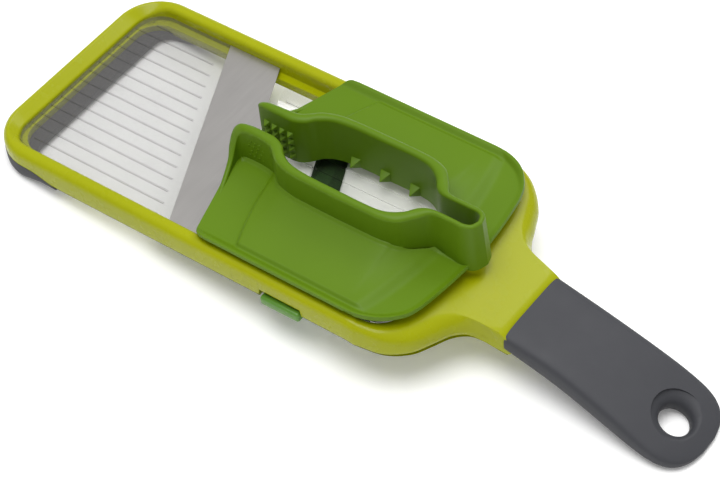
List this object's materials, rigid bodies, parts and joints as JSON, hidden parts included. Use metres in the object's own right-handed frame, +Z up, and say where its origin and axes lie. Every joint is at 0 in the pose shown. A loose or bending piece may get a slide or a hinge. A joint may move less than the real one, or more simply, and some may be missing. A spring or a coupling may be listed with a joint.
{
  "type": "mandoline slicer",
  "caption": "Handheld mandoline slicer with a skewed blade, a tilting clear feed platform and a two-jaw food grip that slides on the rails.",
  "frame": {"origin": "centre of the overall box at table level, standing on the foot and the handle's tip", "axes": "+X from the far end to the handle, +Y across, +Z up"},
  "size_m": [0.35, 0.1212, 0.0637],
  "materials": {
    "lime": "gloss moulded lime",
    "green": "satin moulded green",
    "button_green": "satin moulded green",
    "dark_green": "dark satin green",
    "grey": "soft-touch matte grey",
    "clear": "clear polished plastic",
    "blade_steel": "satin ground steel",
    "screw_steel": "bright steel"
  },
  "bodies": {
    "frame": {"main_frame": "lime", "handle_sleeve": "grey", "non_slip_foot": "grey", "landing_plate": "clear", "blade": "blade_steel", "blade_clamp_bar": "green", "blade_screws": "screw_steel", "near_pivot_pin": "screw_steel", "far_pivot_pin": "screw_steel"},
    "platform": {"feed_platform": "clear", "adjuster_carrier": "dark_green", "adjuster_cover": "dark_green", "cover_screws": "screw_steel", "near_button_spring": "screw_steel", "far_button_spring": "screw_steel"},
    "near_button": {"near_button": "button_green"},
    "far_button": {"far_button": "button_green"},
    "grip_web": {"grip_hinge_web": "green"},
    "near_jaw": {"grip_near_jaw": "green"},
    "far_jaw": {"grip_far_jaw": "green"}
  },
  "joints": [
    {"name": "platform_tilt", "type": "hinge", "parent": "frame", "child": "platform", "pos_m": [0.03091, 0, 0.02565], "axis": [0, -1, 0], "range_deg": [-0.75, 1.75]},
    {"name": "near_button_press", "type": "slide", "parent": "platform", "child": "near_button", "axis": [-0.4152, 0.9085, -0.0473], "range_m": [0, 0.0022], "stiffness_N_per_m": 500, "springref_m": -0.0004, "deforming": ["near_button_spring"]},
    {"name": "far_button_press", "type": "slide", "parent": "platform", "child": "far_button", "axis": [0.4152, -0.9085, 0.0473], "range_m": [0, 0.0022], "stiffness_N_per_m": 500, "springref_m": -0.0004, "deforming": ["far_button_spring"]},
    {"name": "grip_slide", "type": "slide", "parent": "frame", "child": "grip_web", "axis": [-0.995, 0, -0.1001], "range_m": [0, 0.098]},
    {"name": "near_jaw_squeeze", "type": "hinge", "parent": "grip_web", "child": "near_jaw", "pos_m": [0.04685, 0, 0.04705], "axis": [0.1001, 0, -0.995], "range_deg": [0, 1.6], "stiffness_Nm_per_rad": 3},
    {"name": "far_jaw_squeeze", "type": "hinge", "parent": "grip_web", "child": "far_jaw", "pos_m": [0.04685, 0, 0.04705], "axis": [-0.1001, 0, 0.995], "range_deg": [0, 1.6], "stiffness_Nm_per_rad": 3}
  ],
  "couplings": [
    {"joint": "far_jaw_squeeze", "follows": "near_jaw_squeeze", "ratio": 1}
  ]
}
